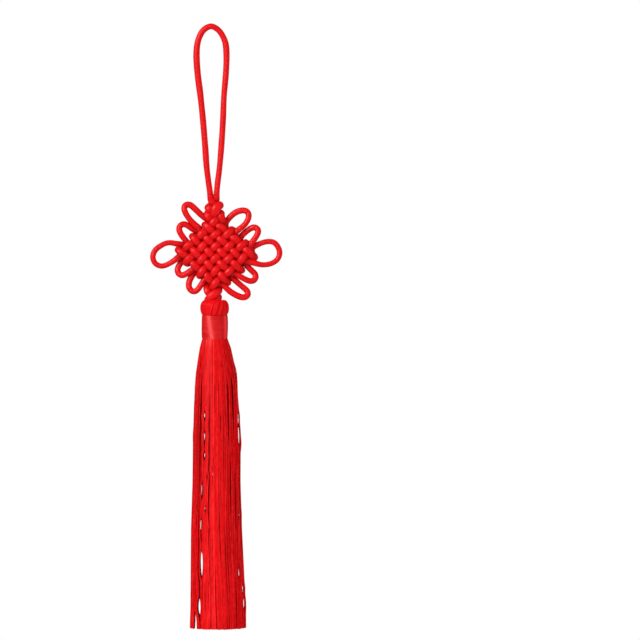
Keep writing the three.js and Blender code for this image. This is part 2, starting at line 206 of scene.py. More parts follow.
def fibreGroup():
    # colour and gloss that run along the fibres: streaks, a slow drift and the tone given on each mesh,
    # which holds random tones and the painted shade and highlight
    group, given, made = newGroup(
        "fibreTone",
        [("Along", "NodeSocketFloat", 0), ("Around", "NodeSocketFloat", 0), ("Tone", "NodeSocketFloat", 0.5),
         ("Streak Length", "NodeSocketFloat", 6.0), ("Streaks", "NodeSocketFloat", 10.0),
         ("Streak Depth", "NodeSocketFloat", 0.6),
         ("Dark", "NodeSocketColor", (0.3, 0, 0, 1)), ("Middle", "NodeSocketColor", (0.6, 0, 0, 1)),
         ("Light", "NodeSocketColor", (0.8, 0, 0, 1)), ("Gloss", "NodeSocketFloat", 0.45)],
        [("Color", "NodeSocketColor"), ("Roughness", "NodeSocketFloat"), ("Height", "NodeSocketFloat")])
    place = group.nodes.new("ShaderNodeCombineXYZ")
    group.links.new(mathNode(group, "MULTIPLY", given.outputs["Around"], given.outputs["Streaks"]),
                    place.inputs["X"])
    group.links.new(mathNode(group, "DIVIDE", given.outputs["Along"], given.outputs["Streak Length"]),
                    place.inputs["Y"])
    group.links.new(mathNode(group, "MULTIPLY", given.outputs["Tone"], 37.0), place.inputs["Z"])
    noise = group.nodes.new("ShaderNodeTexNoise")
    noise.inputs["Scale"].default_value = 1.0
    noise.inputs["Detail"].default_value = 3.0
    noise.inputs["Roughness"].default_value = 0.6
    group.links.new(place.outputs["Vector"], noise.inputs["Vector"])
    streak = mathNode(group, "MULTIPLY", mathNode(group, "SUBTRACT", noise.outputs["Fac"], 0.5),
                      given.outputs["Streak Depth"])
    mix = mathNode(group, "ADD", given.outputs["Tone"], streak)
    mix.node.use_clamp = True
    darkMix = group.nodes.new("ShaderNodeMix")
    darkMix.data_type = "RGBA"
    group.links.new(mathNode(group, "MULTIPLY", mix, 2.0), darkMix.inputs["Factor"])
    group.links.new(given.outputs["Dark"], darkMix.inputs["A"])
    group.links.new(given.outputs["Middle"], darkMix.inputs["B"])
    lightMix = group.nodes.new("ShaderNodeMix")
    lightMix.data_type = "RGBA"
    lightShare = mathNode(group, "MULTIPLY_ADD", mix, 2.0)
    lightShare.node.inputs[2].default_value = -1.0
    lightShare.node.use_clamp = True
    group.links.new(lightShare, lightMix.inputs["Factor"])
    group.links.new(darkMix.outputs["Result"], lightMix.inputs["A"])
    group.links.new(given.outputs["Light"], lightMix.inputs["B"])
    roughness = mathNode(group, "MULTIPLY_ADD", noise.outputs["Fac"], 0.2)
    group.links.new(given.outputs["Gloss"], roughness.node.inputs[2])
    group.links.new(lightMix.outputs["Result"], made.inputs["Color"])
    group.links.new(roughness, made.inputs["Roughness"])
    group.links.new(noise.outputs["Fac"], made.inputs["Height"])
    return group


braidedSkin = braidGroup()
fibreTone = fibreGroup()


def threadMaterial(look):
    material = bpy.data.materials.new(look["name"])
    material.use_nodes = True
    tree = material.node_tree
    shader = tree.nodes["Principled BSDF"]
    uvMap = tree.nodes.new("ShaderNodeUVMap")
    uvMap.uv_map = "threadUv"
    parts = tree.nodes.new("ShaderNodeSeparateXYZ")
    tree.links.new(uvMap.outputs["UV"], parts.inputs["Vector"])
    toneNode = tree.nodes.new("ShaderNodeAttribute")
    toneNode.attribute_name = "tone"
    tone = tree.nodes.new("ShaderNodeGroup")
    tone.node_tree = fibreTone
    tree.links.new(parts.outputs["X"], tone.inputs["Around"])
    tree.links.new(parts.outputs["Y"], tone.inputs["Along"])
    tree.links.new(toneNode.outputs["Fac"], tone.inputs["Tone"])
    tone.inputs["Streak Length"].default_value = look["streakLength"]
    tone.inputs["Streaks"].default_value = look["streaks"]
    tone.inputs["Streak Depth"].default_value = look.get("streakDepth", 0.6)
    tone.inputs["Gloss"].default_value = look["gloss"]
    for label in ("Dark", "Middle", "Light"):
        tone.inputs[label].default_value = (*look[label.lower()], 1)
    colour = tone.outputs["Color"]
    height = tone.outputs["Height"]
    if look.get("yarns"):
        braid = tree.nodes.new("ShaderNodeGroup")
        braid.node_tree = braidedSkin
        tree.links.new(parts.outputs["X"], braid.inputs["Around"])
        tree.links.new(parts.outputs["Y"], braid.inputs["Along"])
        braid.inputs["Yarns"].default_value = look["yarns"]
        braid.inputs["Lay"].default_value = look["lay"]
        height = braid.outputs["Height"]
        # painted shade: the colour is darkened in the braid's furrows
        shade = tree.nodes.new("ShaderNodeMix")
        shade.data_type = "RGBA"
        shade.blend_type = "MULTIPLY"
        tree.links.new(mathNode(tree, "MULTIPLY", braid.outputs["Furrow"], look["furrowShade"]),
                       shade.inputs["Factor"])
        tree.links.new(colour, shade.inputs["A"])
        shade.inputs["B"].default_value = (*look["dark"], 1)
        colour = shade.outputs["Result"]
    bump = tree.nodes.new("ShaderNodeBump")
    bump.inputs["Strength"].default_value = look["bumpStrength"]
    bump.inputs["Distance"].default_value = look["bumpDepth"] * millimetre
    tree.links.new(height, bump.inputs["Height"])
    tree.links.new(bump.outputs["Normal"], shader.inputs["Normal"])
    tree.links.new(colour, shader.inputs["Base Color"])
    tree.links.new(tone.outputs["Roughness"], shader.inputs["Roughness"])
    shader.inputs["Specular IOR Level"].default_value = look["specular"]
    shader.inputs["Specular Tint"].default_value = (*look["shine"], 1)
    shader.inputs["IOR"].default_value = look.get("ior", 1.5)
    return material


def leanNormals(piece, outward, share):
    # loose threads catch the light as one soft bundle, so their normals lean to its outside
    mesh = piece.data
    own = np.empty(len(mesh.vertices) * 3, np.float32)
    mesh.vertex_normals.foreach_get("vector", own)
    mesh.normals_split_custom_set_from_vertices(unit(own.reshape(-1, 3) * (1 - share) + outward * share))


def outwardOf(verts, centreX, rise):
    away = unit((verts - centreX[:, None] * np.array([1, 0, 0])) * (1, 1, 0))
    away[:, 2] = rise
    return unit(away)


def finishPiece(piece, material, slotName, *nodes):
    piece.data.materials.append(material)
    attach(piece, body)
    if nodes:
        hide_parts(*nodes)
    return piece


# Camera: a long lens square to the knot's face, framed as in the photograph

photoFrame = {
    "side": 640,             # pixels each way
    "originX": 210.5,        # the hanging point's pixel column
    "originY": 28.8,         # and its row
    "pixel": 0.4,            # millimetres to a pixel
    "lens": 200,
    "sensor": 36,
}


def makeCamera(shot):
    camera = bpy.data.cameras.new("camera")
    camera.lens = shot["lens"]
    camera.sensor_width = shot["sensor"]
    width = shot["side"] * shot["pixel"]
    holder = bpy.data.objects.new("camera", camera)
    holder.location = (
        (shot["side"] / 2 - shot["originX"]) * shot["pixel"] * millimetre,
        -width * shot["lens"] / shot["sensor"] * millimetre,
        (shot["originY"] - shot["side"] / 2) * shot["pixel"] * millimetre,
    )
    holder.rotation_euler = (math.pi / 2, 0, 0)
    bpy.context.scene.collection.objects.link(holder)
    bpy.context.scene.camera = holder


makeCamera(photoFrame)
print("camera placed")


# Cord: one continuous length, tied as loop, small knot, woven body with ears, small knot

cordLook = {
    "name": "satinCord",
    "dark": (0.36, 0.0, 0.001),
    "middle": (0.72, 0.0006, 0.002),
    "light": (0.90, 0.004, 0.008),
    "streakLength": 5.0,
    "streaks": 4.0,
    "gloss": 0.27,
    "yarns": 8,
    "lay": 1.9,
    "furrowShade": 0.35,
    # painted shade in the braid's furrows
    "bumpStrength": 0.5,
    "bumpDepth": 0.12,
    "specular": 0.8,
    "shine": (1.0, 0.32, 0.34),
}

cord = {
    "radius": 1.15,
    "loopRadius": 1.19,      # the free stretch isn't drawn tight
    "earSwell": 0.08,
    "sideEarSwell": -0.05,
    "sides": 16,
    "step": 0.42,
    "routeStep": 0.6,        # while the cords settle
    "swells": [(0.025, 5.3, 0), (0.02, 2.1, 1)],  # size, length and phase of the slow waves in its girth
    "bodyX": 2.0,
    "bodyZ": -89.6,
    "lines": 6,
    "stepX": 2.62,           # from one crossing to the next, across
    "stepZ": 2.44,           # and down
    "layerDepth": 1.85,      # from the middle of the body to the middle of a layer
    "crimp": 0.92,           # how far a line rises and falls in its layer
    "turnReach": 0.56,       # how far past the last crossing a line turns back, in crossings
    "turnAngles": (25, 50, 70, 90, 110, 130, 155),
    "pointsEach": 6,         # from one crossing to the next
    "press": (0.4, 0.8, 0.6),  # how hard a line is pressed flat: everywhere, more on the crowns, at a turn
    "backShiftX": 1.0,       # the back layer lies a little aside, so that few gaps run through
    "backShiftZ": -0.6,
    "bodyWide": 1.38,        # cords flatten where they are drawn tight
    "bodyThin": 0.82,
    "uneven": {              # a hand-made unevenness: size, turn a column, turn a row, phase
        "across": [(0.22, 2.3, 1.1, 0.4), (0.14, -1.9, 3.7, 0)],
        "up": [(0.22, -2.6, 1.7, 1.2), (0.14, 2.9, 2.2, 0)],
        "depth": [(0.14, 2.1, -1.3, 0.8), (0.1, 1.1, 2.7, 0)],
    },
    "crownTone": 0.51,
    "valleyShade": 0.25,     # painted shade: the cord's colour is darker where it dips between the crowns
    "crownDepth": 3.75,      # from the middle of the body to the crowns
    "valleyDepth": 1.3,
    "weaveEase": 0.2,        # over how much of its reach the weave's painted shade fades out, and the ears' girth in
    "earEase": 0.15,
    "stemHalf": 3.0,         # the small knots' half width
    "sideEarX": 15.0,
    "looseZ": (-70.0, -65.0),
    "splitZ": -66.75,        # the loop's tube ends here and the knot's begins
}

loopLegs = [  # middle of each leg: height, left, right
    (-0.5, -2.8, 3.2),
    (-2.9, -4.3, 4.9),
    (-5.7, -5.2, 6.0),
    (-10.1, -5.6, 6.4),
    (-17.3, -5.2, 6.2),
    (-26.9, -4.0, 5.4),
    (-36.5, -3.0, 5.0),
    (-46.1, -2.2, 4.4),
    (-55.7, -1.5, 3.6),
    (-62.0, -0.7, 2.8),
    (-65.8, -0.15, 2.45),
]
loopCrown = (0.2, 0, 1.1, 0)

ears = [  # route of each ear from the body's middle, as listed points: across, up
    [(-4.0, 13.8), (-7.8, 17.2), (-9.4, 18.7), (-10.5, 19.4), (-11.7, 19.3), (-12.5, 18.5), (-12.5, 17.2),
     (-10.9, 14.1), (-8.2, 11.2), (-6.7, 10.0)],
    [(-7.6, 8.6), (-9.2, 9.5), (-11.9, 11.4), (-13.2, 11.5), (-14.4, 10.6), (-14.6, 9.3), (-14.0, 7.8),
     (-11.9, 4.9), (-10.9, 3.9)],
    [(-12.8, 3.2), (-15.5, 3.6), (-18.8, 4.1), (-22.0, 2.8), (-24.4, 0.7), (-25.1, -2.0), (-24.0, -4.4),
     (-21.5, -5.4), (-18.4, -4.3), (-15.5, -2.4)],
    [(-13.4, -3.1), (-14.9, -5.6), (-15.3, -7.0), (-14.8, -8.3), (-13.6, -9.1), (-12.2, -8.7),
     (-9.6, -7.0), (-8.4, -6.2)],
    [(-8.6, -7.9), (-10.3, -10.8), (-10.7, -12.4), (-10.7, -13.7), (-10.1, -14.8), (-9.0, -15.6),
     (-7.8, -15.4), (-6.7, -14.3), (-5.0, -11.6), (-4.2, -10.4)],
    [(3.9, 11.7), (4.9, 13.3), (7.4, 15.8), (9.0, 16.6), (10.6, 17.0), (12.0, 16.9), (13.0, 16.2),
     (13.4, 15.0), (13.2, 13.7), (11.6, 11.1), (8.8, 8.9), (7.4, 7.8)],
    [(10.4, 6.8), (13.0, 9.1), (14.2, 9.9), (15.3, 10.3), (16.5, 9.9), (17.2, 8.8), (16.9, 7.6),
     (15.3, 5.0), (13.6, 2.8)],
    [(14.4, 2.0), (17.1, 3.4), (20.5, 4.5), (23.4, 4.2), (25.3, 1.8), (25.7, -0.6), (24.6, -2.9),
     (21.8, -4.5), (18.3, -4.8), (15.1, -3.9)],
    [(11.6, -3.9), (13.8, -6.5), (15.9, -8.5), (16.2, -9.6), (15.7, -10.8), (14.6, -11.4), (13.2, -11.2),
     (10.0, -9.6), (7.4, -7.9)],
    [(6.0, -9.2), (8.5, -11.6), (11.3, -14.0), (12.5, -15.0), (13.1, -16.2), (12.5, -17.5), (11.1, -17.9),
     (9.5, -17.5), (6.0, -15.6), (3.0, -12.8), (2.0, -12.2)],
]

# Small knots: each cord passes behind the other, comes round the side and slants down across the front.
# Points are across, depth, height and how hard the cord is pressed flat there.
upperRight = [(2.4, 0.0, -66.6, 0.3), (2.3, 0.5, -68.6, 0.5), (1.6, 1.5, -69.8, 0.7), (0.2, 1.9, -70.8, 0.8),
              (-0.9, 0.8, -71.4, 0.8), (-1.0, -0.9, -71.6, 0.9), (-0.5, -2.2, -72.3, 1.0),
              (0.4, -2.3, -73.4, 1.0), (1.3, -0.9, -74.1, 0.8), (2.4, 0.9, -73.9, 0.6),
              (3.6, 1.4, -73.6, 0.7), (4.4, 0.3, -73.8, 0.8), (4.3, -1.2, -74.3, 0.9),
              (3.3, -2.1, -75.3, 0.9), (2.7, -1.6, -76.5, 0.8), (3.4, -1.0, -77.7, 0.8)]
upperLeft = [(-0.1, 0.0, -66.6, 0.3), (0.2, 0.4, -68.7, 0.5), (1.1, 0.9, -70.0, 0.7), (2.8, 1.6, -70.8, 0.8),
             (3.9, 0.6, -70.9, 0.9), (3.9, -1.0, -70.5, 1.1), (3.2, -2.6, -70.6, 1.5),
             (2.6, -3.3, -71.7, 1.8), (2.1, -3.2, -73.0, 1.6), (1.4, -2.2, -74.2, 1.2),
             (0.9, -0.4, -74.6, 0.8), (0.2, 1.4, -74.0, 0.7), (-0.9, 1.2, -73.6, 0.8),
             (-1.4, -0.3, -73.9, 0.9), (-0.8, -1.9, -74.6, 1.0), (0.2, -2.3, -75.6, 0.9),
             (0.6, -1.7, -76.6, 0.8)]

lowerLeft = [(-0.9, 0.9, -102.4, 0.6), (-1.3, -0.3, -103.6, 0.7), (-1.4, -1.5, -104.6, 0.9),
             (-1.0, -2.0, -105.8, 0.9), (-0.1, -1.4, -107.0, 0.7), (0.9, 0.4, -107.4, 0.6),
             (2.1, 1.5, -107.0, 0.7), (3.3, 0.7, -107.0, 0.8), (3.4, -0.9, -107.6, 0.9),
             (2.3, -2.2, -108.3, 1.0), (1.3, -1.8, -109.1, 0.8), (1.2, -0.6, -109.4, 0.5),
             (1.2, -0.3, -111.0, 0.3)]
lowerRight = [(2.8, 1.2, -103.4, 0.6), (3.5, 0.3, -104.4, 0.8), (3.3, -1.4, -104.9, 1.0),
              (2.1, -2.8, -105.6, 1.3), (0.6, -3.1, -106.9, 1.4), (-0.6, -2.2, -108.0, 1.1),
              (-1.1, -0.4, -108.4, 0.9), (-0.6, 1.3, -108.0, 0.8), (0.9, 1.9, -108.4, 0.6),
              (1.7, 0.9, -108.8, 0.5), (1.9, 0.3, -111.0, 0.3)]


def uneven(way, u, v):
    waves = cord["uneven"][way]
    return sum(size * math.sin(column * u + row * v + phase) for size, column, row, phase in waves)


def crossing(u, v, depth):
    # a place in the woven body: column u, row v
    middle = cord["lines"] - 1
    back = (depth + cord["layerDepth"]) / (2 * cord["layerDepth"])
    x = cord["bodyX"] + (u - v) * cord["stepX"] + back * cord["backShiftX"]
    z = cord["bodyZ"] - (u + v - middle) * cord["stepZ"] + back * cord["backShiftZ"]
    return (x + uneven("across", u, v), depth + uneven("depth", u, v), z + uneven("up", u, v))


def onLine(kind, index, t, depth):
    return crossing(index, t, depth) if kind == "column" else crossing(t, index, depth)


def linePass(kind, index, side, start, stop):
    points = []
    always, onCrown, _ = cord["press"]
    for t in np.linspace(start, stop, cord["pointsEach"] * (cord["lines"] - 1) + 1):
        wave = math.cos(math.pi * (t + index))
        rise = cord["crimp"] * wave
        depth = side * (cord["layerDepth"] + (rise if kind == "column" else -rise))
        points.append((*onLine(kind, index, t, depth), always + onCrown * wave * wave))
    return points


def lineTurn(kind, index, end):
    # from the front layer round to the back one, past the last crossing
    outward = 1 if end > 0 else -1
    reach = cord["layerDepth"] + cord["crimp"]
    points = []
    for angle in np.radians(cord["turnAngles"]):
        t = end + outward * cord["turnReach"] * math.sin(angle)
        points.append((*onLine(kind, index, t, -reach * math.cos(angle)), cord["press"][2]))
    return points


def wovenLine(kind, index, enters):
    last = cord["lines"] - 1
    start, stop = (0, last) if enters == "low" else (last, 0)
    return (linePass(kind, index, -1, start, stop) + lineTurn(kind, index, stop)
            + linePass(kind, index, 1, stop, start))


def earRoute(ear):
    # out of the back layer, round the ear and into the front layer
    inner = cord["layerDepth"] - cord["crimp"]
    span = len(ear) + 1
    return [(cord["bodyX"] + x, inner * math.cos(math.pi * (k + 1) / span), cord["bodyZ"] + z, 0)
            for k, (x, z) in enumerate(ear)]


def strand(start, lines, earNumbers, end):
    points = list(start)
    for number, (kind, index, enters) in enumerate(lines):
        points += wovenLine(kind, index, enters)
        if number < len(earNumbers):
            points += earRoute(ears[earNumbers[number]])
    return points + end


def cordRoute():
    right = strand(
        upperRight, [("column", 1, "low"), ("column", 3, "low"), ("column", 5, "low"), ("row", 1, "high"),
                     ("row", 3, "high"), ("row", 5, "high")], [5, 6, 7, 8, 9], lowerRight)
    left = strand(
        upperLeft, [("row", 0, "low"), ("row", 2, "low"), ("row", 4, "low"), ("column", 0, "high"),
                    ("column", 2, "high"), ("column", 4, "high")], [0, 1, 2, 3, 4], lowerLeft)
    loop = [(row[2], 0, row[0], 0) for row in reversed(loopLegs)] + [loopCrown]
    loop += [(row[1], 0, row[0], 0) for row in loopLegs]
    points = np.array(right[::-1] + loop + left)
    return points[:, :3], points[:, 3]


settling = {
    "near": 3.4,             # stretches closer than this may meet
    "apart": 8,              # and are at least so many steps away along the cord
    "sideways": 0.15,        # how much of the flattening counts across the face
    "touch": 0.98,
    "rounds": 90,
    "push": 0.12,
    "longestPush": 0.15,
    "straighten": 0.12,
    "holdTight": 0.015,
    "holdLoose": 0.08,
    "tightFrom": 0.5,
}


def settle(points, tight):
    # push crossing stretches of cord apart until they lie on each other, and keep the rest in place
    wide = 1 + (cord["bodyWide"] - 1) * tight
    thin = 1 + (cord["bodyThin"] - 1) * tight
    gap = np.linalg.norm(points[:, None] - points[None], axis=2)
    i, j = np.nonzero(gap < settling["near"])
    keep = j - i > settling["apart"]
    i, j = i[keep], j[keep]
    sideways = 1 + ((wide[i] + wide[j]) / 2 - 1) * settling["sideways"]
    scale = np.stack([sideways, (thin[i] + thin[j]) / 2, sideways], axis=1)
    hold = np.where(tight > settling["tightFrom"], settling["holdTight"], settling["holdLoose"])[:, None]
    touch = 2 * cord["radius"] * settling["touch"]
    moved = points.copy()
    for _ in range(settling["rounds"]):
        between = (moved[j] - moved[i]) / scale
        distance = np.linalg.norm(between, axis=1)
        overlap = np.clip(touch - distance, 0, None) * settling["push"]
        push = between / np.maximum(distance, 1e-6)[:, None] * overlap[:, None] * scale
        shift = np.zeros_like(moved)
        np.add.at(shift, i, -push)
        np.add.at(shift, j, push)
        size = np.linalg.norm(shift, axis=1, keepdims=True)
        shift *= np.minimum(1, settling["longestPush"] / np.maximum(size, 1e-6))
        moved = moved + shift
        moved[1:-1] += settling["straighten"] * ((moved[:-2] + moved[2:]) / 2 - moved[1:-1])
        moved += hold * (points - moved)
    return moved


def carryFrames(points):
    # a section that turns with the cord and never twists about it
    tangent = unit(np.gradient(points, axis=0))
    normals = np.empty_like(points)
    normal = np.cross(tangent[0], (0.0, 1.0, 0.0))
    for k, direction in enumerate(tangent):
        normal = normal - direction * normal.dot(direction)
        normal = normal / np.linalg.norm(normal)
        normals[k] = normal
    return normals, np.cross(tangent, normals)


def bodyReach(places):
    # how far out each place is: 1 on the edge of the woven diamond
    across = np.abs(places[:, 0] - cord["bodyX"])
    up = np.abs(places[:, 2] - cord["bodyZ"])
    return across, up, across / (cord["lines"] * cord["stepX"]) + up / (cord["lines"] * cord["stepZ"])


def cordToneWithPaintedShade(verts):
    # painted shade: the cord's tone is darker in the weave's valleys, between the crowns
    woven = np.clip((1 - bodyReach(verts)[2]) / cord["weaveEase"] + 1, 0, 1)
    dip = np.clip((cord["crownDepth"] - np.abs(verts[:, 1])) / cord["valleyDepth"], 0, 1)
    return cord["crownTone"] - cord["valleyShade"] * woven * dip


def earGirth(route):
    # the slack ears swell a little, but for the two wide ones at the sides
    across, up, reach = bodyReach(route)
    stem = cord["stemHalf"]
    outside = np.clip((reach - 1) / cord["earEase"], 0, 1) * np.clip(across / stem - 1, 0, 1)
    sideward = np.clip((across - cord["sideEarX"]) / stem, 0, 1) * np.clip(3 - up / stem, 0, 1)
    return 1 + outside * (cord["earSwell"] * (1 - sideward) + cord["sideEarSwell"] * sideward)


def makeCord(settings):
    points, tight = cordRoute()
    lengths = lengthAlong(points)
    route = smoothRoute(points, settings["routeStep"])
    along = lengthAlong(route)
    tightness = np.interp(along / along[-1], lengths / lengths[-1], tight)
    blurSteps = 7
    padded = np.pad(tightness, blurSteps // 2, mode="edge")
    tightness = np.convolve(padded, np.ones(blurSteps) / blurSteps, mode="valid")
    route = settle(route, tightness)
    route, tightness = evenSteps(route, settings["step"], tightness)
    normal, across = carryFrames(route)
    angle = roundAngles(settings["sides"])
    offset = (np.cos(angle)[:, None] * normal[:, None] + np.sin(angle)[:, None] * across[:, None])
    along = np.arange(len(route)) * settings["step"]
    swell = 1 + sum(size * np.sin(along / length + phase) for size, length, phase in settings["swells"])
    loose = np.interp(route[:, 2], settings["looseZ"], (0, 1))
    radius = settings["radius"] + (settings["loopRadius"] - settings["radius"]) * loose
    radius *= earGirth(route)
    offset *= (radius * swell)[:, None, None]
    offset[..., 1] *= (1 + (settings["bodyThin"] - 1) * tightness)[:, None]
    offset[..., [0, 2]] *= (1 + (settings["bodyWide"] - 1) * tightness)[:, None, None]
    rings = route[:, None] + offset
    print("cord length in mm:", round(float(along[-1])))
    return rings, along, route


def cordPieces(settings):
    rings, along, route = makeCord(settings)
    free = route[:, 2] > settings["splitZ"]
    first = int(np.argmax(free))
    last = len(free) - int(np.argmax(free[::-1]))
    material = threadMaterial(cordLook)
    spans = {
        "loopCord": ([slice(first, last)], ["hanging_loop"]),
        "knotCord": ([slice(0, first + 1), slice(last - 1, None)], ["knot"]),
    }
    for name, (parts, nodes) in spans.items():
        verts, faces, uvs, tones, offset = [], [[], []], [[], []], [], 0
        for part in parts:
            tube = rings[part][None]
            v, f, uv, _ = skinTubes(tube, along[part][None], np.array([0.5]))
            quadCorners = 4 * len(f[0])
            verts.append(v)
            tones.append(cordToneWithPaintedShade(v))
            for kind in (0, 1):
                faces[kind].append(f[kind] + offset)
            uvs[0].append(uv[:quadCorners])
            uvs[1].append(uv[quadCorners:])
            offset += len(v)
        piece = makeMesh(name, np.concatenate(verts), [np.concatenate(rows) for rows in faces],
                         np.concatenate([np.concatenate(rows) for rows in uvs]), np.concatenate(tones))
        finishPiece(piece, material, "satin_cord", *nodes)


cordPieces(cord)
print("cord tied")


# Tassel head: folded threads in leaning bunches over the cap, and a plain filling under them

headLook = {
    "name": "foldedThread",
    "dark": (0.40, 0.0, 0.001),
    "middle": (0.74, 0.002, 0.004),
    "light": (0.94, 0.010, 0.014),
    "streakLength": 3.0,
    "streaks": 2.0,
    "gloss": 0.28,
    "bumpStrength": 0.3,
    "bumpDepth": 0.05,
    "specular": 0.35,
    "shine": (1.0, 0.3, 0.3),
}

head = {
    "x": 1.7,
    "bunches": 33,
    "threadsEach": 5,
    "threadRadius": 0.17,
    "sides": 6,
    "steps": 22,
    "leanDegrees": 30,
    "seed": 11,
    "bunchWidths": (0.75, 1.25),
    "bunchRises": (-0.08, 0.16),
    "bunchTones": (0.35, 0.65),
    "leans": (0.8, 1.2),
    "threadGirths": (0.9, 1.25),
    "domeRise": 0.2,         # how far a bunch's middle threads stand out
    "domeSink": 0.06,        # and how far its edges lie in
    "domeLift": 0.6,         # the share of that by which the middle threads lie higher at the top
    "strayAngle": 0.008,
    "edgeShade": 0.25,       # painted shade: a bunch is darker at its edges
    "toneSpread": 0.08,
    "profile": [(1.2, -109.7), (2.4, -108.9), (3.6, -108.65), (4.6, -109.1), (5.2, -110.1), (5.42, -111.4),
                (5.36, -112.8), (5.05, -113.9), (4.6, -114.6)],
    "profileStep": 0.1,
    "domeFoot": -110.9,      # above this the bundle's outside turns upwards
    "domeEase": 1.5,
    "bundleShare": 0.34,
    "fillInset": 0.16,
    "fillSegments": 64,
    "fillSteps": 18,
    # painted shade: the filling under and between the bunches is a darker tone of the same thread
    "fillShadeTone": 0.3,
    "fillTop": (0.4, -109.6),
    "fillFoot": [(4.2, -116.0), (4.2, -122.5), (3.6, -126.0), (0.5, -127.0)],  # hidden in the neck
}


def headProfile(count):
    rows = np.array([(r, 0, z) for r, z in head["profile"]], float)
    path = smoothRoute(rows, head["profileStep"])
    steps = np.linspace(0, len(path) - 1, count)
    index = np.arange(len(path))
    return np.interp(steps, index, path[:, 0]), np.interp(steps, index, path[:, 2])


def makeHead():
    random = np.random.default_rng(head["seed"])
    radius, height = headProfile(head["steps"])
    share = np.linspace(0, 1, len(radius))
    paths, tones, radii = [], [], []
    widths = random.uniform(*head["bunchWidths"], head["bunches"])
    edges = np.concatenate([[0], np.cumsum(widths)]) / widths.sum() * 2 * math.pi
    for bunch in range(head["bunches"]):
        lean = math.radians(head["leanDegrees"] * random.uniform(*head["leans"]))
        rise = random.uniform(*head["bunchRises"])
        bunchTone = random.uniform(*head["bunchTones"])
        for k in range(head["threadsEach"]):
            f = (k + 0.5) / head["threadsEach"]
            edge = (2 * f - 1) ** 2
            angle = edges[bunch] + f * (edges[bunch + 1] - edges[bunch])
            angle += random.normal(0, head["strayAngle"])
            dome = head["domeRise"] * (1 - edge) - head["domeSink"]
            turn = angle - lean * share
            out = radius + (dome + rise) * np.sin(np.pi * share) ** 0.5
            lifted = height + head["domeLift"] * dome * (1 - share)
            paths.append(np.stack([head["x"] + out * np.cos(turn), out * np.sin(turn), lifted], axis=1))
            # random tone for each bunch and thread, less painted shade towards the bunch's edges
            tone = bunchTone + random.normal(0, head["toneSpread"]) - head["edgeShade"] * edge
            tones.append(np.clip(tone, 0, 1))
            radii.append(head["threadRadius"] * random.uniform(*head["threadGirths"]))
    paths = np.array(paths)
    radial = unit((paths - np.array([head["x"], 0, 0])) * (1, 1, 0))
    radii = np.array(radii)[:, None]
    verts, faces, uvs, tone = sweepThreads(paths, radial, radii, head["sides"], np.array(tones))
    piece = makeMesh("headThreads", verts, faces, uvs, tone)
    rise = np.clip((verts[:, 2] - head["domeFoot"]) / head["domeEase"], 0, 1.5)
    leanNormals(piece, outwardOf(verts, np.full(len(verts), head["x"]), rise), head["bundleShare"])
    finishPiece(piece, threadMaterial(headLook), "tassel_thread", "tassel")


def lathe(name, centreX, rows, segments, tone):
    # a closed turned shape: rows of (radius, height) from the axis at the top to the axis at the foot
    rows = np.array(rows, float)
    angle = roundAngles(segments)
    ring = np.stack([np.cos(angle), np.sin(angle)], axis=1)
    flat = centreX * np.array([1, 0]) + rows[:, 0, None, None] * ring[None]
    rings = np.concatenate([flat, np.broadcast_to(rows[:, 1, None, None], (len(rows), segments, 1))], axis=2)
    verts, faces, uvs, tones = skinTubes(
        rings[None][:, :, ::-1], lengthAlong(rows)[None], np.array([tone]))
    return makeMesh(name, verts, faces, uvs, tones)


def makeFilling():
    radius, height = headProfile(head["fillSteps"])
    rows = [head["fillTop"]] + [(r - head["fillInset"], z) for r, z in zip(radius, height)]
    rows += head["fillFoot"]
    piece = lathe("headFilling", head["x"], rows, head["fillSegments"], head["fillShadeTone"])
    finishPiece(piece, bpy.data.materials[headLook["name"]], "tassel_thread")


makeHead()
makeFilling()
print("head folded")


# Band: satin thread wound round the neck in fine turns, with its end tucked in one upright fold

bandLook = {
    "name": "bandSatin",
    "dark": (0.44, 0.0, 0.001),
    "middle": (0.60, 0.0006, 0.002),
    "light": (0.96, 0.03, 0.04),
    "streakLength": 1.6,
    "streaks": 5.0,
    "gloss": 0.32,
    "bumpStrength": 0.12,
    "bumpDepth": 0.02,
    "specular": 1.0,
    "ior": 1.6,
    "shine": (1.0, 0.24, 0.24),
}

band = {
    "turns": 60,
    "rowsEach": 4,
    "ridge": 0.022,
    "lump": 0.03,            # it isn't wound quite round
    "lumpWaves": (3, 5),     # round the band and down it, in radians
    "segments": 120,
    "outline": [(0.0, 4.98), (0.03, 5.16), (0.3, 5.26), (0.6, 5.27), (0.9, 5.18), (0.97, 5.12), (1.0, 4.95)],
    "innerRadius": 4.35,
    "foldDegrees": -35,
    "foldRise": 0.5,
    "foldWidth": 7,
    "foldEnds": 0.3,         # a power: the lower, the blunter the fold's ends
    "foldPaintedHighlight": 0.5,         # painted highlight: the fold's line is a paler tone
    "tone": 0.5,
    "dip": 0.4,              # the winding lies a little lower in front
    "sheenTurn": 0.33,       # the satin isn't wound quite square, so its sheen turns as it goes down
    "sheenRise": 0.2,
    "sheenShare": 0.85,
}


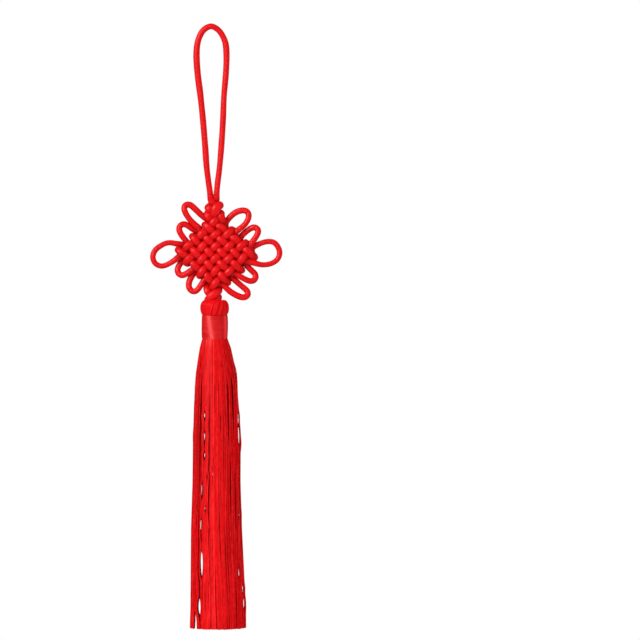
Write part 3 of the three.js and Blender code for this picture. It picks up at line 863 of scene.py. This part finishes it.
def windingRings(top, foot):
    # from the top down: the inner edge, the wound outside turn by turn, the inner edge again
    count = band["turns"] * band["rowsEach"] + 1
    share = np.linspace(0, 1, count)[:, None]
    angle = roundAngles(band["segments"])
    outline = np.array(band["outline"])
    surface = np.interp(share, outline[:, 0], outline[:, 1])
    surface = surface + band["ridge"] * np.sin(2 * np.pi * band["turns"] * share + angle)
    away = np.degrees((angle - math.radians(band["foldDegrees"]) + np.pi) % (2 * np.pi) - np.pi)
    step = band["foldRise"] * np.exp(-((away / band["foldWidth"]) ** 2))
    surface = surface + step * np.sin(np.pi * share) ** band["foldEnds"]
    wavesRound, wavesDown = band["lumpWaves"]
    surface = surface + band["lump"] * np.sin(wavesRound * angle + wavesDown * share)
    height = top + (foot - top) * share + band["dip"] * np.sin(angle)
    inner = np.full((1, band["segments"]), band["innerRadius"])
    out = np.concatenate([inner, surface, inner])
    height = np.concatenate([np.full_like(inner, top), height, np.full_like(inner, foot)])
    return np.stack([head["x"] + out * np.cos(angle), out * np.sin(angle), height], axis=2)[:, ::-1]


def closeRings(rings):
    # quads from each ring to the next and from the last back to the first, with no ends
    ringCount, sides = rings.shape[:2]
    row = (np.arange(ringCount) * sides)[:, None]
    k = np.arange(sides)[None]
    n = (k + 1) % sides
    following = np.roll(row, -1, axis=0)
    quads = np.stack([row + k, row + n, following + n, following + k], -1).reshape(-1, 4)
    along = lengthAlong(rings[:, 0])
    left = np.broadcast_to(k / sides, (ringCount, sides))
    low = np.broadcast_to(along[:, None], (ringCount, sides))
    high = np.broadcast_to(np.append(along[1:], along[-1] + 1)[:, None], (ringCount, sides))
    uvs = np.stack([np.stack([left, low], -1), np.stack([left + 1 / sides, low], -1),
                    np.stack([left + 1 / sides, high], -1), np.stack([left, high], -1)], axis=2)
    return [quads], uvs.reshape(-1, 2)


def makeBand():
    low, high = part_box("tassel_band")
    top, foot = high.z / millimetre, low.z / millimetre
    rings = windingRings(top, foot)
    faces, uvs = closeRings(rings)
    verts = rings.reshape(-1, 3)
    fromAxis = verts - np.array([head["x"], 0, 0])
    angle = np.arctan2(fromAxis[:, 1], fromAxis[:, 0])
    fromFold = (np.degrees(angle) - band["foldDegrees"]) / band["foldWidth"]
    # painted highlight: the tone rises towards the fold's line
    tone = band["tone"] + band["foldPaintedHighlight"] * np.exp(-fromFold ** 2)
    piece = makeMesh("windingBand", verts, faces, uvs, tone)
    turned = angle + band["sheenTurn"] * ((verts[:, 2] - foot) / (top - foot) - 0.5)
    sheen = unit(np.stack([np.cos(turned), np.sin(turned), np.full(len(verts), band["sheenRise"])], axis=1))
    outside = np.hypot(fromAxis[:, 0], fromAxis[:, 1]) > band["innerRadius"] + 0.2
    plain = outside & (np.abs(fromFold) > 2)  # the fold and the inner edges keep their own light
    leanNormals(piece, sheen, (band["sheenShare"] * plain)[:, None])
    finishPiece(piece, threadMaterial(bandLook), "band_thread", "tassel_band")


makeBand()
print("band wound")


# Skirt: loose threads that hang in locks, parted by slits and furrows, cut level at the foot

skirtLook = {
    "name": "skirtThread",
    "dark": (0.57, 0.0, 0.001),
    "middle": (0.785, 0.001, 0.003),
    "light": (0.94, 0.014, 0.018),
    "streakLength": 2.6,
    "streaks": 1.5,
    "streakDepth": 2.0,
    "gloss": 0.24,
    "bumpStrength": 0.2,
    "bumpDepth": 0.04,
    "specular": 0.5,
    "shine": (1.0, 0.3, 0.3),
}

skirt = {
    "seed": 29,
    "locks": 130,
    "shells": [              # name, threads, from and to as shares of the half width, thread radius
        ("skirt", 1300, 0.72, 0.97, 0.21),
        ("heart", 420, 0.0, 0.74, 0.34),
    ],
    "sides": 3,
    "fluff": (0.9, 1.35),    # how much thicker the threads lie at the top and at the foot
    "steps": 40,
    "stepEase": [(0, 0.14, 1), (0, 0.24, 1)],  # the steps are longer near the top, above the slits
    "lockTurn": 2.39996,     # the golden angle, which spreads the locks evenly
    "lockStray": 0.12,
    "lockWidth": 1.15,
    "lockSpread": 0.62,
    "open": (0.4, 1.4, 3.2),  # how much wider a lock is at the foot and at the neck, and how soon it closes
    "drift": (0.06, 4.2),    # size and waves of each lock's wander
    "wander": (0.026, 9.0),  # and of each thread's own
    "cutSpread": 0.08,
    "shortShare": 0.04,      # so many threads are cut up to shortMost higher
    "shortMost": 3.0,
    "tone": 0.4572,
    "lockTones": 0.6,
    "lockGrooveShade": 0.14,       # painted shade: a lock is paler along its middle and darker at its edges
    "threadTones": 0.15,
    "topZ": -122.6,
    "footZ": -239.45,
    "depthShare": 0.94,      # a little flatter from front to back
    "bundleShare": 0.76,     # how far the light falls on the bundle rather than on each thread
    "bundleRise": 0.1,
    "levels": [              # height, middle, half width
        (-122.6, 1.7, 4.5),
        (-124.2, 1.7, 5.0),
        (-126.5, 1.9, 5.9),
        (-129.7, 2.0, 6.4),
        (-133.0, 2.1, 7.1),
        (-136.5, 2.2, 7.8),
        (-142.5, 2.2, 8.3),
        (-152.0, 2.4, 8.9),
        (-165.0, 2.5, 9.4),
        (-181.0, 2.4, 9.4),
        (-200.0, 2.4, 10.0),
        (-219.0, 2.8, 10.5),
        (-235.0, 3.1, 10.9),
        (-241.0, 3.1, 10.9),
    ],
}

rightThrough = 99

partings = [  # across, top, foot, half width and how far back it cuts: right through, or a furrow in front
    (-3.44, -207.6, -219.8, 0.72, rightThrough),
    (-4.4, -227.2, -235.0, 0.72, rightThrough),
    (-5.8, -233.2, -242.0, 0.8, rightThrough),
    (-4.1, -239.0, -242.0, 0.5, rightThrough),
    (-3.85, -195.8, -200.6, 0.42, rightThrough),
    (-3.8, -201.4, -205.0, 0.4, rightThrough),
    (-3.5, -179.6, -188.8, 0.42, rightThrough),
    (-2.35, -161.2, -165.6, 0.44, rightThrough),
    (-2.35, -168.0, -172.8, 0.4, rightThrough),
    (-1.4, -176.2, -181.4, 0.46, rightThrough),
    (0.86, -175.0, -179.2, 0.46, rightThrough),
    (-2.2, -190.4, -194.2, 0.44, rightThrough),
    (-2.4, -152.8, -157.0, 0.42, rightThrough),
    (12.8, -222.6, -226.4, 0.36, rightThrough),
    (13.28, -227.2, -232.6, 0.38, rightThrough),
    (11.3, -215.2, -219.4, 0.38, rightThrough),
    (11.3, -192.8, -195.2, 0.28, rightThrough),
    (11.0, -152.8, -157.8, 0.34, rightThrough),
    (11.25, -158.6, -166.4, 0.3, rightThrough),
    (7.2, -138.0, -169.0, 0.34, -4.8),
    (9.1, -141.0, -164.0, 0.3, -2.8),
    (8.0, -169.0, -197.0, 0.28, -4.2),
    (9.8, -166.0, -204.0, 0.26, -2.4),
    (3.9, -149.0, -164.0, 0.22, -6.4),
    (1.8, -136.0, -159.0, 0.22, -6.4),
]


def skirtAt(z):
    levels = np.array(skirt["levels"])[::-1]
    return np.interp(z, levels[:, 0], levels[:, 1]), np.interp(z, levels[:, 0], levels[:, 2])


partingShape = {
    "slitEnds": 0.45,        # powers: the lower, the blunter a parting's ends
    "furrowEnds": 1.2,
    "footEnd": 0.6,
    "sightTurn": -0.031,     # its plane lies along the photograph's line of sight
    "sightSpread": 0.0007,
    "reach": (3.2, 0.6),     # how far aside the threads give way: in half widths, and in all
    "clear": 0.95,
    "least": 0.01,
}


def partThreads(paths):
    # threads beside a parting lean away from its plane, as far back as it cuts
    for across, top, foot, half, back in partings:
        share = (top - paths[..., 2]) / (top - foot)
        ends = partingShape["slitEnds"] if back == rightThrough else partingShape["furrowEnds"]
        gape = np.sin(np.pi * np.clip(share, 0, 1)) ** ends
        if foot < skirt["footZ"]:
            gape = np.clip(share, 0, 1) ** partingShape["footEnd"]
        depth = paths[..., 1]
        plane = across * (1 + partingShape["sightSpread"] * depth) + partingShape["sightTurn"] * depth
        away = paths[..., 0] - plane
        middle = np.argmin(np.abs(share - 0.5), axis=1)
        side = np.where(np.take_along_axis(away, middle[:, None], axis=1) < 0, -1, 1)
        wide, more = partingShape["reach"]
        push = np.clip(1 - np.abs(away) / (wide * half + more), 0, 1) * half * gape
        moved = np.maximum(side * away + push, partingShape["clear"] * half * gape)
        reached = (gape > partingShape["least"]) & (depth < back)
        paths[..., 0] = np.where(reached, plane + side * moved, paths[..., 0])
    return paths


def hangThreads(random, count, steps, inner, outer):
    # normalised places in the round, gathered in locks that close up further down
    locks = skirt["locks"]
    lockTone = skirt["lockTones"] * (random.uniform(0, 1, locks) - 0.5)
    lockAngle = np.arange(locks) * skirt["lockTurn"] + random.normal(0, skirt["lockStray"], locks)
    lockOut = np.sqrt(inner ** 2 + (outer ** 2 - inner ** 2) * (np.arange(locks) + 0.5) / locks)
    lockPlace = np.stack([lockOut * np.cos(lockAngle), lockOut * np.sin(lockAngle)], axis=1)
    lock = random.integers(0, locks, count)
    size = skirt["lockWidth"] / math.sqrt(locks)
    spread = random.normal(0, size * skirt["lockSpread"], (count, 2))
    share = np.interp(np.linspace(0, 1, steps), *skirt["stepEase"])[None, :, None]
    atFoot, atNeck, closing = skirt["open"]
    gather = 1.0 + atFoot * share + atNeck * (1 - np.clip(share * closing, 0, 1)) ** 1.5
    place = lockPlace[lock][:, None] + spread[:, None] * gather
    lockPhase = random.uniform(0, 2 * np.pi, (locks, 2))[lock]
    ownPhase = random.uniform(0, 2 * np.pi, (count, 2))
    for (swing, waves), phase in ((skirt["drift"], lockPhase), (skirt["wander"], ownPhase)):
        place = place + swing * share * np.sin(waves * share + phase[:, None])
    far = np.linalg.norm(place, axis=2, keepdims=True)
    place = place * np.where(far > 1, 1 / np.maximum(far, 1e-6), 1)
    foot = skirt["footZ"] + random.normal(0, skirt["cutSpread"], count)
    short = random.uniform(0, 1, count) < skirt["shortShare"]
    foot += np.where(short, random.uniform(0, skirt["shortMost"], count), 0)
    z = skirt["topZ"] + (foot - skirt["topZ"])[:, None] * share[..., 0]
    middle, half = skirtAt(z)
    paths = np.stack([middle + half * place[..., 0], half * skirt["depthShare"] * place[..., 1], z], axis=2)
    ridge = np.linalg.norm(spread, axis=1) / size - skirt["lockSpread"]
    # painted shade: threads towards a lock's edges are darker
    tone = skirt["tone"] + lockTone[lock] - skirt["lockGrooveShade"] * ridge
    tone = tone + random.normal(0, skirt["threadTones"], count)
    return partThreads(paths), np.clip(tone, 0.02, 0.98)


def makeSkirt():
    random = np.random.default_rng(skirt["seed"])
    material = threadMaterial(skirtLook)
    for shell, count, inner, outer, radius in skirt["shells"]:
        paths, tone = hangThreads(random, count, skirt["steps"], inner, outer)
        turn = random.uniform(0, 2 * np.pi, count)
        reference = np.stack([np.cos(turn), np.sin(turn), np.zeros(count)], axis=1)[:, None]
        girth = radius * np.linspace(*skirt["fluff"], skirt["steps"])
        inFront = paths[:, 0, 1] < 0
        for half, chosen in (("Front", inFront), ("Back", ~inFront)):
            verts, faces, uvs, tones = sweepThreads(
                paths[chosen], reference[chosen], girth, skirt["sides"], tone[chosen])
            piece = makeMesh(shell + half, verts, faces, uvs, tones)
            outward = outwardOf(verts, skirtAt(verts[:, 2])[0], skirt["bundleRise"])
            leanNormals(piece, outward, skirt["bundleShare"])
            finishPiece(piece, material, "tassel_thread")


strays = {
    "seed": 5,
    "radius": 0.14,
    "sides": 4,
    "steps": 20,
    "start": 0.95,           # where they leave the skirt, as a share of its half width
    "swing": (0.35, 9),      # size and waves of their wander out and in
    "sway": (0.05, 6),       # and round the skirt
    "tones": (0.5, 0.9),
    "rows": [  # start height, foot height, angle round the skirt, how far it stands off, slant in degrees
        (-126.0, -156.0, -7, 0.8, 0),
        (-128.0, -164.0, -16, 0.5, 0),
        (-146.0, -172.0, -3, 0.8, 0),
        (-150.0, -190.0, -24, 0.5, 0),
        (-206.0, -232.0, 4, 0.4, 0),
        (-150.0, -176.0, 184, 0.5, 0),
        (-196.0, -239.0, 176, 0.4, 0),
        (-140.0, -210.0, -70, 0.8, 6),
        (-172.0, -214.0, -112, 0.9, 7),
        (-204.0, -236.0, -96, 0.9, -9),
        (-208.0, -239.0, -80, 0.9, 8),
        (-216.0, -239.0, -104, 0.9, 5),
        (-152.0, -206.0, -98, 0.8, -6),
        (-150.0, -236.0, 95, 0.7, 0),
        (-132.0, -180.0, 60, 0.7, 0),
        (-128.0, -170.0, 130, 0.6, 0),
    ],
}


def makeStrays():
    random = np.random.default_rng(strays["seed"])
    paths = []
    for top, foot, degrees, off, slant in strays["rows"]:
        share = np.linspace(0, 1, strays["steps"])
        z = top + (foot - top) * share
        middle, half = skirtAt(z)
        phase = random.uniform(0, 2 * np.pi, 2)
        swing, swings = strays["swing"]
        sway, sways = strays["sway"]
        out = half * strays["start"] + off * np.sin(np.pi * share ** 1.3)
        out = out + swing * share * np.sin(swings * share + phase[0])
        angle = np.radians(degrees + slant * share) + sway * np.sin(sways * share + phase[1])
        depth = out * skirt["depthShare"] * np.sin(angle)
        paths.append(np.stack([middle + out * np.cos(angle), depth, z], axis=1))
    paths = np.array(paths)
    reference = np.array([[[0.0, 1.0, 0.0]]])
    tone = random.uniform(*strays["tones"], len(paths))
    verts, faces, uvs, tones = sweepThreads(paths, reference, strays["radius"], strays["sides"], tone)
    piece = makeMesh("strayThreads", verts, faces, uvs, tones)
    finishPiece(piece, bpy.data.materials[skirtLook["name"]], "tassel_thread")


makeSkirt()
makeStrays()
print("skirt hung")


# Studio: a pale floor under the tassel, soft white light all round, a soft key from the upper left
# and a weaker fill from the right

studio = {
    "floorZ": -300.0,
    "floorRadius": 500.0,
    "floorSides": 96,
    "floorColour": (0.86, 0.86, 0.86),
    "floorRoughness": 0.9,
    "ambient": 0.66,
    "glossAmbient": 0.04,    # what the satin mirrors of the room
    "aim": (0.0, 0.0, -120.0),
    "lamps": [               # name, place, disc size in metres, watts, whether the satin mirrors it
        ("key", (-820.0, -870.0, 480.0), 0.45, 11.6, True),
        ("fill", (900.0, -800.0, 150.0), 0.9, 3.8, False),
    ],
}


def makeFloor():
    sides = studio["floorSides"]
    angle = roundAngles(sides)
    verts = np.stack([studio["floorRadius"] * np.cos(angle), studio["floorRadius"] * np.sin(angle),
                      np.full(sides, studio["floorZ"])], axis=1) * millimetre
    mesh = bpy.data.meshes.new("floor")
    mesh.from_pydata(verts.tolist(), [], [list(range(sides))])
    floor = bpy.data.objects.new("floor", mesh)
    bpy.context.scene.collection.objects.link(floor)
    material = bpy.data.materials.new("paleFloor")
    material.use_nodes = True
    shader = material.node_tree.nodes["Principled BSDF"]
    shader.inputs["Base Color"].default_value = (*studio["floorColour"], 1)
    shader.inputs["Roughness"].default_value = studio["floorRoughness"]
    mesh.materials.append(material)
    floor.visible_glossy = False  # the threads don't mirror the floor when seen from above


def makeLamp(name, place, size, watts, mirrored):
    lamp = bpy.data.lights.new(name, "AREA")
    lamp.shape = "DISK"
    lamp.size = size
    lamp.energy = watts
    holder = bpy.data.objects.new(name, lamp)
    holder.visible_glossy = mirrored
    direction = np.array(studio["aim"]) - np.array(place)
    away = math.hypot(direction[0], direction[1])
    holder.location = [value * millimetre for value in place]
    holder.rotation_euler = (math.pi / 2 + math.atan2(direction[2], away), 0,
                             math.atan2(direction[1], direction[0]) - math.pi / 2)
    bpy.context.scene.collection.objects.link(holder)


def makeWorld():
    world = bpy.data.worlds.new("studioWhite")
    world.use_nodes = True
    tree = world.node_tree
    light = tree.nodes["Background"]
    light.inputs["Color"].default_value = (1, 1, 1, 1)
    light.inputs["Strength"].default_value = studio["ambient"]
    seen = tree.nodes.new("ShaderNodeBackground")
    seen.inputs["Color"].default_value = (1, 1, 1, 1)
    seen.inputs["Strength"].default_value = 1.0
    mirrored = tree.nodes.new("ShaderNodeBackground")
    mirrored.inputs["Strength"].default_value = studio["glossAmbient"]
    rays = tree.nodes.new("ShaderNodeLightPath")
    shown = light.outputs["Background"]
    for ray, other in (("Is Glossy Ray", mirrored), ("Is Camera Ray", seen)):
        mix = tree.nodes.new("ShaderNodeMixShader")
        tree.links.new(rays.outputs[ray], mix.inputs["Fac"])
        tree.links.new(shown, mix.inputs[1])
        tree.links.new(other.outputs["Background"], mix.inputs[2])
        shown = mix.outputs["Shader"]
    tree.links.new(shown, tree.nodes["World Output"].inputs["Surface"])
    bpy.context.scene.world = world
    bpy.context.scene.view_settings.view_transform = "Standard"


makeFloor()
for lampRow in studio["lamps"]:
    makeLamp(*lampRow)
makeWorld()
print("studio lit")
